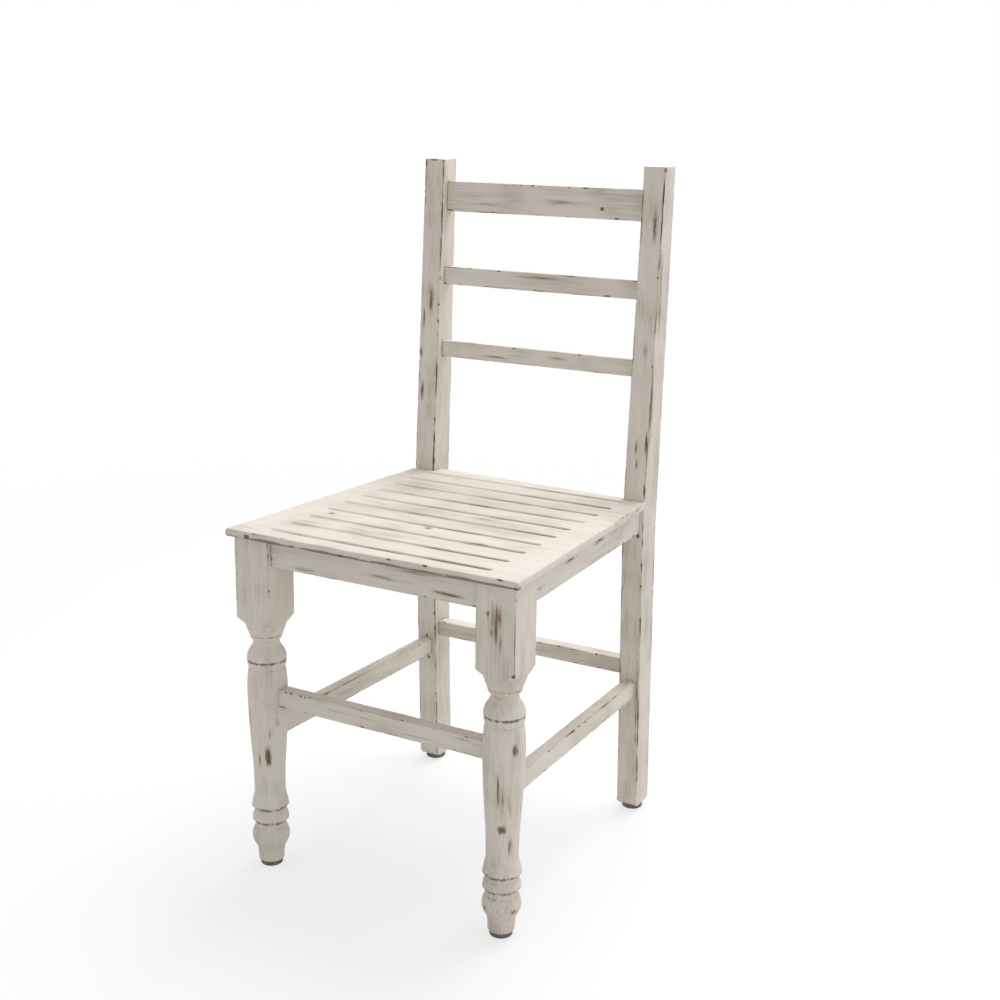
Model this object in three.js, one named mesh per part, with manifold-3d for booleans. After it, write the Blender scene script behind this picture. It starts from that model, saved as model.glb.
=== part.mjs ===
// Painted wooden side chair: turned front legs, raked back posts, three slats and a fluted seat.
// Millimetres. X runs to the right as seen from the front, Y to the back, Z up; floor at Z = 0.
import * as THREE from "three";
import { mergeVertices, toCreasedNormals } from "three/addons/utils/BufferGeometryUtils.js";
import Module from "manifold-3d";

const wasm = await Module();
wasm.setup();

// Overall sizes
const SEAT_HEIGHT = 450; // floor to seat top
const OVERALL_HEIGHT = 877; // floor to top of the back posts
const FRONT_WIDTH = 390; // across the outer faces of the front legs
const REAR_WIDTH = 354; // across the outer faces of the back posts
const FRAME_DEPTH = 380; // front face of the front legs to front face of the back posts

// Fit between pieces that sit in or on each other
const FIT = 0.3;
const ARRIS = 1.5; // easing on the long edges of planed members
const RUN_OUT = 1; // how far a cutter runs past the face it opens
const CREASE = 0.6; // radians; softer edges than this are shaded smooth

// Front legs
const LEG_SQUARE = 51;
const LEG_BLOCK_LENGTH = 102; // square top of the leg, down to the cut of its corners
const LEG_SIDES = 24; // facets round the turning

// Back posts
const POST_WIDTH = 30;
const POST_DEPTH_SEAT = 42;
const POST_DEPTH_TOP = 32;
const POST_DEPTH_FOOT = 39;
const POST_RAKE = 25; // how far the front face leans back at the top
const POST_KICK = 15; // how far the foot stands behind the seat joint
const POST_PLUMB = 60; // plumb length below the seat top, where the seat frame joins
const POST_BLEND = 25; // length of the soft bend above and below the plumb part
const POST_FOOT_CHAMFER = 5;

// Seat board
const SEAT_THICKNESS = 10;
const SEAT_OVERHANG_FRONT = 7;
const SEAT_OVERHANG_REAR = 3; // past the outer faces of the back posts
const SEAT_REACH_LEFT = 18; // behind the front faces of the back posts
const SEAT_REACH_RIGHT = 8;
const SEAT_EDGE_ROUND = 2.5;
const FLUTE_COUNT = 10;
const FLUTE_WIDTH = 8;
const FLUTE_DEPTH = 2;
const FLUTE_LENGTH = 310;
const FLUTE_MARGIN_FRONT = 25; // front edge to the first flute
const FLUTE_MARGIN_REAR = 14; // last flute to the back posts

// Aprons under the seat
const APRON_THICKNESS = 18;
const APRON_HEIGHT = 33;
const APRON_SETBACK = 5.5; // behind the outer faces of legs and posts
const REAR_APRON_SETBACK = 2;
const APRON_TENON_THICKNESS = 8;
const APRON_TENON_SHOULDER = 6; // above and below the tenon
const MORTISE_WALL = 5; // wood left between two mortises of a front leg
const POST_MORTISE_WALL = 2;
const SIDE_APRON_REAR_TENON = 24;

// Stretchers
const FRONT_STRETCHER_THICKNESS = 18;
const FRONT_STRETCHER_HEIGHT = 23;
const FRONT_STRETCHER_AXIS_GAP = 9; // end of the stretcher to the leg's axis
const SIDE_STRETCHER_THICKNESS = 16;
const SIDE_STRETCHER_HEIGHT = 24;
const SIDE_STRETCHER_DROP = 49; // centre below the centre of the front stretcher
const SIDE_STRETCHER_REAR_TENON = 20;
const REAR_STRETCHER_THICKNESS = 20;
const REAR_STRETCHER_HEIGHT = 21.5;
const REAR_STRETCHER_DROP = 22.5;
const REAR_STRETCHER_SETBACK = 9; // behind the front faces of the posts
const STRETCHER_TENON_THICKNESS = 8;
const STRETCHER_TENON_SHOULDER = 4;

// Back slats, top to bottom
const SLAT_THICKNESS = 14;
const SLAT_SETBACK = 11; // behind the front faces of the posts
const SLAT_TENON_THICKNESS = 7;
const SLAT_TENON_LENGTH = 18;
const SLAT_TENON_SHOULDER = 3;
const SLATS = [
  { name: "top_slat", height: 40, belowTop: 29.5 },
  { name: "middle_slat", height: 24.5, belowTop: 144 },
  { name: "lower_slat", height: 22.5, belowTop: 245.5 },
];

// Corner blocks and seat screws
const BLOCK_REACH = 48; // along each apron from the leg or post
const BLOCK_HEIGHT = 24;
const SCREW_BITE = 6; // into the seat board
const SCREW_SUNK = 0.6; // head above the underside of the block
const SCREW_RADIUS = 2;
const SCREW_HEAD_RADIUS = 4;
const SCREW_HEAD_HEIGHT = 2.6;
const SCREW_THREAD_DEPTH = 0.5;
const SCREW_THREAD_PITCH = 2;
const SCREW_THREAD_TURNS = 9;
const SCREW_POINT = 3;
const SCREW_CROSS_WIDTH = 1;
const SCREW_CROSS_SPAN = 4.6;
const SCREW_CROSS_DEPTH = 1.4;
const SCREW_CROSS_TURN = Math.PI / 5; // where the driver stopped
const FIXING_SIDES = 12; // facets round screws, nails and their holes

// Glides nailed under the feet
const GLIDE_RADIUS = 14;
const GLIDE_HEIGHT = 7;
const GLIDE_EDGE = 2; // round between sole and side
const GLIDE_SIDES = 24;
const NAIL_LENGTH = 22;
const NAIL_RADIUS = 1.2;
const NAIL_HEAD_RADIUS = 3.2;
const NAIL_HEAD_HEIGHT = 1;
const NAIL_SUNK = 1.4; // head above the sole of the glide

// Turning of the front leg from the foot up. Each stretch ends at a height above the foot and a
// radius; swell is how far its middle stands out from the straight line, or dips if negative.
// Heights and radii are those of a leg this long below the block and this square, and scale with it.
const PATTERN_LENGTH = 331;
const PATTERN_SQUARE = 51;
const PATTERN_FOOT_RADIUS = 15.6;
const PATTERN_SWELL = 226; // height of the vase's fullest part, where the front stretcher enters
const LEG_PATTERN = [
  { top: 3, radius: 16.4, swell: 0.2, steps: 2 }, // eased foot
  { top: 20, radius: 18.6, swell: -0.7, steps: 2 }, // taper of the foot
  { top: 46, radius: 20.2, swell: 4.3, steps: 6 }, // lowest ring
  { top: 55.5, radius: 19.6, swell: 0, steps: 1 }, // neck
  { top: 56.5, radius: 23.2, swell: 0, steps: 1 }, // underside of the middle ring
  { top: 68, radius: 20, swell: 1, steps: 3 },
  { top: 74.5, radius: 19.6, swell: 0, steps: 1 }, // neck
  { top: 75.5, radius: 23.6, swell: 0, steps: 1 }, // underside of the top ring
  { top: 93, radius: 19.7, swell: 0.3, steps: 3 },
  { top: 132, radius: 20.4, swell: -0.2, steps: 2 }, // long vase: waist, swell and shoulder
  { top: PATTERN_SWELL, radius: 25.3, swell: 0.7, steps: 5 },
  { top: 253, radius: 24.1, swell: 0.5, steps: 2 },
  { top: 262, radius: 22.1, swell: 0.6, steps: 2 },
  { top: 272.6, radius: 23.7, swell: 1.1, steps: 5, bead: true }, // collar
  { top: 273.2, radius: 24.6, swell: 0, steps: 1 }, // quirk
  { top: 289.5, radius: 18.6, swell: 1.9, steps: 6 }, // ball
  { top: 298, radius: 16.2, swell: -0.5, steps: 2 }, // neck
  { top: 305.2, radius: 19.6, swell: 1.6, steps: 4, bead: true }, // bead under the bell
  { top: 305.7, radius: 20.6, swell: 0, steps: 1 }, // quirk
  { top: 322, radius: PATTERN_SQUARE / 2 + 0.7, swell: 0.3, steps: 3 }, // bell, flush with the faces
  { top: PATTERN_LENGTH, radius: 37, swell: 0, steps: 1 }, // cut through the block's corners
];

// Levels and positions that follow from the sizes
const seatUnder = SEAT_HEIGHT - SEAT_THICKNESS;
const frameTop = seatUnder - FIT;
const footEnd = GLIDE_HEIGHT + FIT;
const blockBottom = frameTop - LEG_BLOCK_LENGTH;
const patternRise = (blockBottom - footEnd) / PATTERN_LENGTH;
const patternGirth = LEG_SQUARE / PATTERN_SQUARE;
const legX = (FRONT_WIDTH - LEG_SQUARE) / 2;
const legY = LEG_SQUARE / 2;
const postX = (REAR_WIDTH - POST_WIDTH) / 2;
const postInner = REAR_WIDTH / 2 - POST_WIDTH;
const postFront = FRAME_DEPTH;
const kneeBottom = SEAT_HEIGHT - POST_PLUMB;
const rake = Math.atan(POST_RAKE / (OVERALL_HEIGHT - SEAT_HEIGHT));
const footCentreY = postFront + POST_KICK + POST_DEPTH_FOOT / 2;
const frontStretcherZ = footEnd + PATTERN_SWELL * patternRise;
const sideStretcherZ = frontStretcherZ - SIDE_STRETCHER_DROP;
const rearStretcherZ = frontStretcherZ - REAR_STRETCHER_DROP;
const apronZ = frameTop - APRON_HEIGHT / 2;

// The origin is under the middle of the chair
const postReach = Math.max(POST_RAKE + POST_DEPTH_TOP, POST_KICK + POST_DEPTH_FOOT, POST_DEPTH_SEAT);
const originY = (postFront + postReach - SEAT_OVERHANG_FRONT) / 2;

// Finishes
const PAINT = { color: 0xd9d3c7, roughness: 0.72, metalness: 0 };
const BARE_WOOD = { color: 0x9a7650, roughness: 0.8, metalness: 0 };
const DARK_PLASTIC = { color: 0x2e2a27, roughness: 0.6, metalness: 0 };
const STEEL = { color: 0x8d8f90, roughness: 0.45, metalness: 0.9 };

// Solids
function solid(geometry) {
  const bare = geometry.clone();
  bare.deleteAttribute("normal");
  bare.deleteAttribute("uv");
  const welded = mergeVertices(bare, 1e-4);
  return new wasm.Manifold(new wasm.Mesh({
    numProp: 3,
    vertProperties: new Float32Array(welded.attributes.position.array),
    triVerts: new Uint32Array(welded.index.array),
  }));
}

function cut(body, ...cutters) {
  return cutters.reduce((rest, cutter) => rest.subtract(cutter), body);
}

function join(...bodies) {
  return bodies.reduce((whole, body) => whole.add(body));
}

const chair = new THREE.Group();
chair.name = "chair";

function add(name, body, finish) {
  const data = body.getMesh();
  const geometry = new THREE.BufferGeometry();
  geometry.setAttribute("position", new THREE.BufferAttribute(new Float32Array(data.vertProperties), 3));
  geometry.setIndex(new THREE.BufferAttribute(new Uint32Array(data.triVerts), 1));
  geometry.translate(0, -originY, 0);
  const mesh = new THREE.Mesh(toCreasedNormals(geometry, CREASE), new THREE.MeshStandardMaterial(finish));
  mesh.name = name;
  chair.add(mesh);
}

// Axes of a shape drawn in the YZ plane and pulled along X
const ALONG_X = new THREE.Matrix4().makeBasis(
  new THREE.Vector3(0, 1, 0), new THREE.Vector3(0, 0, 1), new THREE.Vector3(1, 0, 0));

function roundedRectangle(width, height, radius) {
  const [w, h, r] = [width / 2, height / 2, radius];
  const shape = new THREE.Shape();
  shape.moveTo(-w + r, -h).lineTo(w - r, -h);
  if (r > 0) shape.absarc(w - r, -h + r, r, -Math.PI / 2, 0);
  shape.lineTo(w, h - r);
  if (r > 0) shape.absarc(w - r, h - r, r, 0, Math.PI / 2);
  shape.lineTo(-w + r, h);
  if (r > 0) shape.absarc(-w + r, h - r, r, Math.PI / 2, Math.PI);
  shape.lineTo(-w, -h + r);
  if (r > 0) shape.absarc(-w + r, -h + r, r, Math.PI, Math.PI * 1.5);
  return shape;
}

// Planed bar along X about the origin: thickness is its Y size, height its Z size
function bar(length, thickness, height, ease, placing) {
  const geometry = new THREE.ExtrudeGeometry(roundedRectangle(thickness, height, ease), {
    depth: length,
    bevelEnabled: false,
    curveSegments: 2,
  });
  geometry.translate(0, 0, -length / 2).applyMatrix4(ALONG_X).applyMatrix4(placing);
  return solid(geometry);
}

// Solid of revolution about Z from [radius, height] points; both ends lie on the axis
function turned(points, sides, x = 0, y = 0, z = 0) {
  const geometry = new THREE.LatheGeometry(points.map(([r, h]) => new THREE.Vector2(r, h)), sides);
  return solid(geometry.rotateX(Math.PI / 2).translate(x, y, z));
}

// A member whose two ends enter the wood beside it, with the pocket those ends need
function tenoned({ length, thickness, height, tenon, placing }) {
  const { front = 0, back = front, thickness: tongue, shoulder } = tenon;
  const whole = length + front + back;
  const shift = placing.clone().multiply(new THREE.Matrix4().makeTranslation((back - front) / 2, 0, 0));
  const tongueHeight = height - 2 * shoulder;
  return {
    wood: join(
      bar(length, thickness, height, ARRIS, placing),
      bar(whole, tongue, tongueHeight, 0, shift),
    ),
    mortise: bar(whole + 2 * FIT, tongue + 2 * FIT, tongueHeight + 2 * FIT, 0, shift),
  };
}

const at = (x, y, z) => new THREE.Matrix4().makeTranslation(x, y, z);

// Lays a bar from front to back; slope is the sideways drift for each millimetre of depth
function frontToBack(x, y, z, slope) {
  return at(x, y, z).multiply(new THREE.Matrix4().makeBasis(
    new THREE.Vector3(slope, 1, 0), new THREE.Vector3(-1, 0, 0), new THREE.Vector3(0, 0, 1)));
}

// Aprons: front and rear run across, the two side ones close in towards the back
const apronTenon = { thickness: APRON_TENON_THICKNESS, shoulder: APRON_TENON_SHOULDER };
const tenonFlank = APRON_SETBACK + (APRON_THICKNESS + APRON_TENON_THICKNESS) / 2;
const legTenon = LEG_SQUARE - tenonFlank - MORTISE_WALL;
const postStub = POST_WIDTH - tenonFlank - POST_MORTISE_WALL - FIT;

const frontApron = tenoned({
  length: FRONT_WIDTH - 2 * LEG_SQUARE - 2 * FIT,
  thickness: APRON_THICKNESS,
  height: APRON_HEIGHT,
  tenon: { ...apronTenon, front: legTenon },
  placing: at(0, APRON_SETBACK + APRON_THICKNESS / 2, apronZ),
});

const rearApronY = postFront + REAR_APRON_SETBACK + APRON_THICKNESS / 2;
const rearApron = tenoned({
  length: 2 * (postInner - FIT),
  thickness: APRON_THICKNESS,
  height: APRON_HEIGHT,
  tenon: { ...apronTenon, front: postStub },
  placing: at(0, rearApronY, apronZ),
});

const sideLength = postFront - LEG_SQUARE - 2 * FIT;
const sideMiddleY = (postFront + LEG_SQUARE) / 2;
const apronFrontX = FRONT_WIDTH / 2 - APRON_SETBACK - APRON_THICKNESS / 2;
const apronRearX = REAR_WIDTH / 2 - APRON_SETBACK - APRON_THICKNESS / 2;
const apronSlope = (apronRearX - apronFrontX) / (postFront - LEG_SQUARE);

function sideApron(side) {
  return tenoned({
    length: sideLength,
    thickness: APRON_THICKNESS,
    height: APRON_HEIGHT,
    tenon: { ...apronTenon, front: legTenon, back: SIDE_APRON_REAR_TENON },
    placing: frontToBack(side * (apronFrontX + apronRearX) / 2, sideMiddleY, apronZ, side * apronSlope),
  });
}

// Front face of a back post: plumb at the seat frame, raked above it, kicked back below it
function postFrontAt(z) {
  if (z >= SEAT_HEIGHT) return postFront + POST_RAKE * (z - SEAT_HEIGHT) / (OVERALL_HEIGHT - SEAT_HEIGHT);
  if (z >= kneeBottom) return postFront;
  return postFront + POST_KICK * (kneeBottom - z) / (kneeBottom - footEnd);
}

// Sawn outline of a back post, drawn in the YZ plane and bevelled all round
function postBlank(side) {
  const footFront = postFront + POST_KICK;
  const footBack = footFront + POST_DEPTH_FOOT;
  const topFront = postFront + POST_RAKE;
  const back = postFront + POST_DEPTH_SEAT;
  const outline = new THREE.Shape();
  outline.moveTo(footBack - POST_FOOT_CHAMFER, footEnd);
  outline.lineTo(footBack, footEnd + POST_FOOT_CHAMFER);
  bend(outline, [footBack, footEnd], [back, kneeBottom], [back, SEAT_HEIGHT]);
  bend(outline, [back, kneeBottom], [back, SEAT_HEIGHT], [topFront + POST_DEPTH_TOP, OVERALL_HEIGHT]);
  outline.lineTo(topFront + POST_DEPTH_TOP, OVERALL_HEIGHT);
  outline.lineTo(topFront, OVERALL_HEIGHT);
  bend(outline, [topFront, OVERALL_HEIGHT], [postFront, SEAT_HEIGHT], [postFront, kneeBottom]);
  bend(outline, [postFront, SEAT_HEIGHT], [postFront, kneeBottom], [footFront, footEnd]);
  outline.lineTo(footFront, footEnd + POST_FOOT_CHAMFER);
  outline.lineTo(footFront + POST_FOOT_CHAMFER, footEnd);
  const geometry = new THREE.ExtrudeGeometry(outline, {
    depth: POST_WIDTH - 2 * ARRIS,
    bevelThickness: ARRIS,
    bevelSize: ARRIS,
    bevelOffset: -ARRIS,
    bevelSegments: 2,
    curveSegments: 3,
  });
  geometry.translate(0, 0, ARRIS - POST_WIDTH / 2).applyMatrix4(ALONG_X);
  return solid(geometry.translate(side * postX, 0, 0));
}

// Runs the outline through a knee with a soft bend instead of a corner
function bend(outline, from, knee, to) {
  const toward = ([y, z]) => {
    const reach = POST_BLEND / Math.hypot(y - knee[0], z - knee[1]);
    return [knee[0] + (y - knee[0]) * reach, knee[1] + (z - knee[1]) * reach];
  };
  outline.lineTo(...toward(from));
  outline.quadraticCurveTo(...knee, ...toward(to));
}

// Stretchers: let whole into the turned legs, tenoned into the back posts
const stretcherTenon = { thickness: STRETCHER_TENON_THICKNESS, shoulder: STRETCHER_TENON_SHOULDER };

const frontStretcherLength = 2 * (legX - FRONT_STRETCHER_AXIS_GAP);
const [frontStretcher, frontStretcherPocket] = [0, 2 * FIT].map((gap) => bar(frontStretcherLength + gap,
  FRONT_STRETCHER_THICKNESS + gap, FRONT_STRETCHER_HEIGHT + gap, ARRIS, at(0, legY, frontStretcherZ)));

const rearStretcherY = postFrontAt(rearStretcherZ) + REAR_STRETCHER_SETBACK + REAR_STRETCHER_THICKNESS / 2;
const rearStretcher = tenoned({
  length: 2 * (postInner - FIT),
  thickness: REAR_STRETCHER_THICKNESS,
  height: REAR_STRETCHER_HEIGHT,
  tenon: { ...stretcherTenon, front: POST_WIDTH / 2 },
  placing: at(0, rearStretcherY, rearStretcherZ),
});

// The rear shoulder of a side stretcher is scribed to the leaning face of its post
const stretcherSlope = (postX - legX) / (postFront - legY);

function sideStretcher(side) {
  const start = legY + FRONT_STRETCHER_AXIS_GAP;
  const face = postFrontAt(sideStretcherZ);
  const along = (from, to, [thickness, height], ease, gap = 0) => {
    const y = (from + to) / 2;
    const x = side * (legX + stretcherSlope * (y - legY));
    const placing = frontToBack(x, y, sideStretcherZ, side * stretcherSlope);
    return bar(to - from, thickness + 2 * gap, height + 2 * gap, ease, placing);
  };
  const section = [SIDE_STRETCHER_THICKNESS, SIDE_STRETCHER_HEIGHT];
  const tongueSection = [STRETCHER_TENON_THICKNESS, SIDE_STRETCHER_HEIGHT - 2 * STRETCHER_TENON_SHOULDER];
  const tenonEnd = face + SIDE_STRETCHER_REAR_TENON;
  const body = along(start, face + POST_KICK, section, ARRIS);
  return {
    wood: join(cut(body, postBlank(side).translate([0, -FIT, 0])), along(start, tenonEnd, tongueSection, 0)),
    mortise: along(start, tenonEnd + FIT, tongueSection, 0, FIT),
    pocket: along(start - FIT, face, section, ARRIS, FIT),
  };
}

// Back slats stand square to the raked faces of the posts
const slats = SLATS.map(({ name, height, belowTop }) => {
  const z = OVERALL_HEIGHT - belowTop - height / 2;
  const y = postFrontAt(z) + SLAT_SETBACK + SLAT_THICKNESS / 2;
  const lean = new THREE.Matrix4().makeRotationX(-rake);
  return { name, ...tenoned({
    length: 2 * (postInner - FIT),
    thickness: SLAT_THICKNESS,
    height,
    tenon: { front: SLAT_TENON_LENGTH, thickness: SLAT_TENON_THICKNESS, shoulder: SLAT_TENON_SHOULDER },
    placing: at(0, y, z).multiply(lean),
  }) };
});

// Nails and glides stand on the floor; the same outline, a little larger, makes the hole
function nailOutline(gap) {
  const headTop = NAIL_SUNK + NAIL_HEAD_HEIGHT + gap;
  const tip = NAIL_SUNK + NAIL_LENGTH + gap;
  const base = gap > 0 ? -gap : NAIL_SUNK;
  return [[0, base], [NAIL_HEAD_RADIUS + gap, base], [NAIL_HEAD_RADIUS + gap, headTop],
    [NAIL_RADIUS + gap, headTop], [NAIL_RADIUS + gap, tip - 2 * NAIL_RADIUS], [0, tip]];
}

function glideOutline() {
  const corner = Array.from({ length: 4 }, (_, i) => {
    const angle = i * Math.PI / 6;
    return [GLIDE_RADIUS - GLIDE_EDGE * (1 - Math.sin(angle)), GLIDE_EDGE * (1 - Math.cos(angle))];
  });
  return [[0, 0], ...corner, [GLIDE_RADIUS, GLIDE_HEIGHT], [0, GLIDE_HEIGHT]];
}

function addFoot(name, x, y) {
  const hole = turned(nailOutline(FIT), FIXING_SIDES, x, y);
  add(`${name}_glide`, cut(turned(glideOutline(), GLIDE_SIDES, x, y), hole), DARK_PLASTIC);
  add(`${name}_nail`, turned(nailOutline(0), FIXING_SIDES, x, y), STEEL);
  return hole;
}

// Turned leg: a square stick cut to the pattern, the square kept at the top
function turnedLeg(x) {
  const outline = [[0, footEnd]];
  let [bottom, start] = [0, PATTERN_FOOT_RADIUS];
  for (const { top, radius, swell, steps, bead } of LEG_PATTERN) {
    for (let step = bottom === 0 ? 0 : 1; step <= steps; step++) {
      const t = step / steps;
      const bow = (4 * t * (1 - t)) ** (bead ? 0.5 : 1);
      const r = start + (radius - start) * t + swell * bow;
      outline.push([r * patternGirth, footEnd + (bottom + (top - bottom) * t) * patternRise]);
    }
    [bottom, start] = [top, radius];
  }
  outline.push([start * patternGirth, frameTop], [0, frameTop]);
  const stick = new THREE.ExtrudeGeometry(roundedRectangle(LEG_SQUARE, LEG_SQUARE, ARRIS), {
    depth: frameTop - footEnd + 2 * RUN_OUT,
    bevelEnabled: false,
    curveSegments: 3,
  });
  return turned(outline, LEG_SIDES, x, legY).intersect(solid(stick.translate(x, legY, footEnd - RUN_OUT)));
}

// Inner face of a side apron at a given depth
const apronInner = (y) => apronFrontX - APRON_THICKNESS / 2 + apronSlope * (y - LEG_SQUARE);

// Plan of a corner block, right-hand side: it bears on two aprons from a to b and is notched
// round the leg or post at its corner; the screw stands midway between corner and long face
function blockPlan({ innerX, faceY, apronY, end }) {
  const corner = [innerX, faceY];
  const a = [innerX - BLOCK_REACH, apronY];
  const b = [apronInner(end) - FIT, end];
  const outline = [a, [innerX, apronY], corner, [apronInner(faceY) - FIT, faceY], b];
  const screwAt = [0, 1].map((axis) => (a[axis] + b[axis] + 2 * corner[axis]) / 4);
  return { outline, screwAt };
}

const BLOCK_PLANS = {
  front: blockPlan({
    innerX: FRONT_WIDTH / 2 - LEG_SQUARE - FIT,
    faceY: LEG_SQUARE + FIT,
    apronY: APRON_SETBACK + APRON_THICKNESS + FIT,
    end: LEG_SQUARE + FIT + BLOCK_REACH,
  }),
  rear: blockPlan({
    innerX: postInner - FIT,
    faceY: postFront - FIT,
    apronY: postFront + REAR_APRON_SETBACK - FIT,
    end: postFront - FIT - BLOCK_REACH,
  }),
};

const blockUnder = frameTop - BLOCK_HEIGHT;
const screwHead = blockUnder + SCREW_SUNK;
const screwTip = seatUnder + SCREW_BITE;

function screwHole(x, y) {
  const [mouth, shank] = [SCREW_HEAD_RADIUS + FIT, SCREW_RADIUS + FIT];
  return turned([[0, blockUnder - RUN_OUT], [mouth, blockUnder - RUN_OUT], [mouth, screwHead],
    [shank, screwHead + SCREW_HEAD_HEIGHT], [shank, screwTip - SCREW_POINT],
    [FIT, screwTip + FIT], [0, screwTip + FIT]], FIXING_SIDES, x, y);
}

function screw(x, y) {
  const root = SCREW_RADIUS - SCREW_THREAD_DEPTH;
  const threadEnd = screwTip - SCREW_POINT;
  const threadStart = threadEnd - SCREW_THREAD_TURNS * SCREW_THREAD_PITCH;
  const outline = [[0, screwHead], [SCREW_HEAD_RADIUS, screwHead]];
  outline.push([SCREW_RADIUS, screwHead + SCREW_HEAD_HEIGHT]);
  for (let turn = 0; turn < SCREW_THREAD_TURNS; turn++) {
    const z = threadStart + turn * SCREW_THREAD_PITCH;
    const flank = SCREW_THREAD_PITCH / 3;
    outline.push([SCREW_RADIUS, z], [root, z + flank], [root, z + 2 * flank]);
  }
  outline.push([SCREW_RADIUS, threadEnd], [0, screwTip]);
  const cross = [0, Math.PI / 2].map((angle) => {
    const turn = new THREE.Matrix4().makeRotationZ(angle + SCREW_CROSS_TURN);
    const placing = at(x, y, screwHead).multiply(turn);
    return bar(SCREW_CROSS_SPAN, SCREW_CROSS_WIDTH, 2 * SCREW_CROSS_DEPTH, 0, placing);
  });
  return cut(turned(outline, FIXING_SIDES, x, y), ...cross);
}

// Legs, posts and everything that belongs to one side
const screwHoles = [];

for (const [label, side] of [["left", -1], ["right", 1]]) {
  const apron = sideApron(side);
  const stretcher = sideStretcher(side);

  const legNail = addFoot(`front_${label}`, side * legX, legY);
  add(`front_leg_${label}`, cut(turnedLeg(side * legX),
    frontApron.mortise, apron.mortise, frontStretcherPocket, stretcher.pocket, legNail), PAINT);

  const postNail = addFoot(`rear_${label}`, side * postX, footCentreY);
  add(`back_post_${label}`, cut(postBlank(side), rearApron.mortise, apron.mortise,
    rearStretcher.mortise, stretcher.mortise, ...slats.map((slat) => slat.mortise), postNail), PAINT);

  add(`${label}_apron`, apron.wood, PAINT);
  add(`${label}_stretcher`, stretcher.wood, PAINT);

  for (const [end, { outline, screwAt: [screwX, y] }] of Object.entries(BLOCK_PLANS)) {
    const x = side * screwX;
    const plan = new THREE.Shape(outline.map(([px, py]) => new THREE.Vector2(side * px, py)));
    const block = new THREE.ExtrudeGeometry(plan, { depth: BLOCK_HEIGHT, bevelEnabled: false });
    const hole = screwHole(x, y);
    screwHoles.push(hole);
    add(`corner_block_${end}_${label}`, cut(solid(block.translate(0, 0, blockUnder)), hole), BARE_WOOD);
    add(`seat_screw_${end}_${label}`, screw(x, y), STEEL);
  }
}

add("front_apron", frontApron.wood, PAINT);
add("rear_apron", rearApron.wood, PAINT);
add("front_stretcher", frontStretcher, PAINT);
add("rear_stretcher", rearStretcher.wood, PAINT);
for (const { name, wood } of slats) add(name, wood, PAINT);

// Seat board, notched round the posts, with stopped flutes routed across the top
const seatFrontX = FRONT_WIDTH / 2 + SEAT_OVERHANG_FRONT;
const seatRearX = REAR_WIDTH / 2 + SEAT_OVERHANG_REAR;
const tongueX = postInner - FIT;
const notchY = postFront - FIT;
const seatPlan = new THREE.Shape([
  [-seatFrontX, -SEAT_OVERHANG_FRONT], [seatFrontX, -SEAT_OVERHANG_FRONT],
  [seatRearX, notchY], [tongueX, notchY], [tongueX, postFront + SEAT_REACH_RIGHT],
  [-tongueX, postFront + SEAT_REACH_LEFT], [-tongueX, notchY], [-seatRearX, notchY],
].map(([x, y]) => new THREE.Vector2(x, y)));
const seatBlank = new THREE.ExtrudeGeometry(seatPlan, {
  depth: SEAT_THICKNESS - 2 * SEAT_EDGE_ROUND,
  bevelThickness: SEAT_EDGE_ROUND,
  bevelSize: SEAT_EDGE_ROUND,
  bevelOffset: -SEAT_EDGE_ROUND,
  bevelSegments: 4,
});

// Round-nosed cutter as wide as the flute at the surface
const cutterRadius = (FLUTE_WIDTH ** 2 / 4 + FLUTE_DEPTH ** 2) / (2 * FLUTE_DEPTH);
const fluteFirst = FLUTE_MARGIN_FRONT - SEAT_OVERHANG_FRONT;
const flutePitch = (postFront - FLUTE_MARGIN_REAR - fluteFirst) / (FLUTE_COUNT - 1);
const flutes = Array.from({ length: FLUTE_COUNT }, (_, i) => {
  const straight = FLUTE_LENGTH - FLUTE_WIDTH;
  const capsule = new THREE.CapsuleGeometry(cutterRadius, straight, 5, 24);
  capsule.rotateZ(Math.PI / 2);
  capsule.translate(0, fluteFirst + i * flutePitch, SEAT_HEIGHT - FLUTE_DEPTH + cutterRadius);
  return solid(capsule);
});
const seat = solid(seatBlank.translate(0, 0, seatUnder + SEAT_EDGE_ROUND));
add("seat_board", cut(seat, ...flutes, ...screwHoles), PAINT);

export default chair;
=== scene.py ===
import functools
import math
import bpy
import numpy as np
from mathutils import Matrix, Vector


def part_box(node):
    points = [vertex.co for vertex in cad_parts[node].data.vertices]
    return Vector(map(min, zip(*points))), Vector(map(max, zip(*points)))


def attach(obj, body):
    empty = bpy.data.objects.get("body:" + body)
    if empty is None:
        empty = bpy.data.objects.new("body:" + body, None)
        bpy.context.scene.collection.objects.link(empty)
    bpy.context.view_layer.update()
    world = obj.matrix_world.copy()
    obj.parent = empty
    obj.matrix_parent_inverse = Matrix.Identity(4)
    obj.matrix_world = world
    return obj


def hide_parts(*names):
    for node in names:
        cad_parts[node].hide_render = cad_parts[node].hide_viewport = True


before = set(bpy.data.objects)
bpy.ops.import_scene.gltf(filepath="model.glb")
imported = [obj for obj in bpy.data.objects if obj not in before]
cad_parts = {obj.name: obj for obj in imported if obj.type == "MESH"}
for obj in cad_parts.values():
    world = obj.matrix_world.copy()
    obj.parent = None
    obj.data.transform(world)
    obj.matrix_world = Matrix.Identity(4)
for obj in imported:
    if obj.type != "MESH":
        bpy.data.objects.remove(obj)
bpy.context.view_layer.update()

bpy.ops.object.select_all(action="DESELECT")

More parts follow.
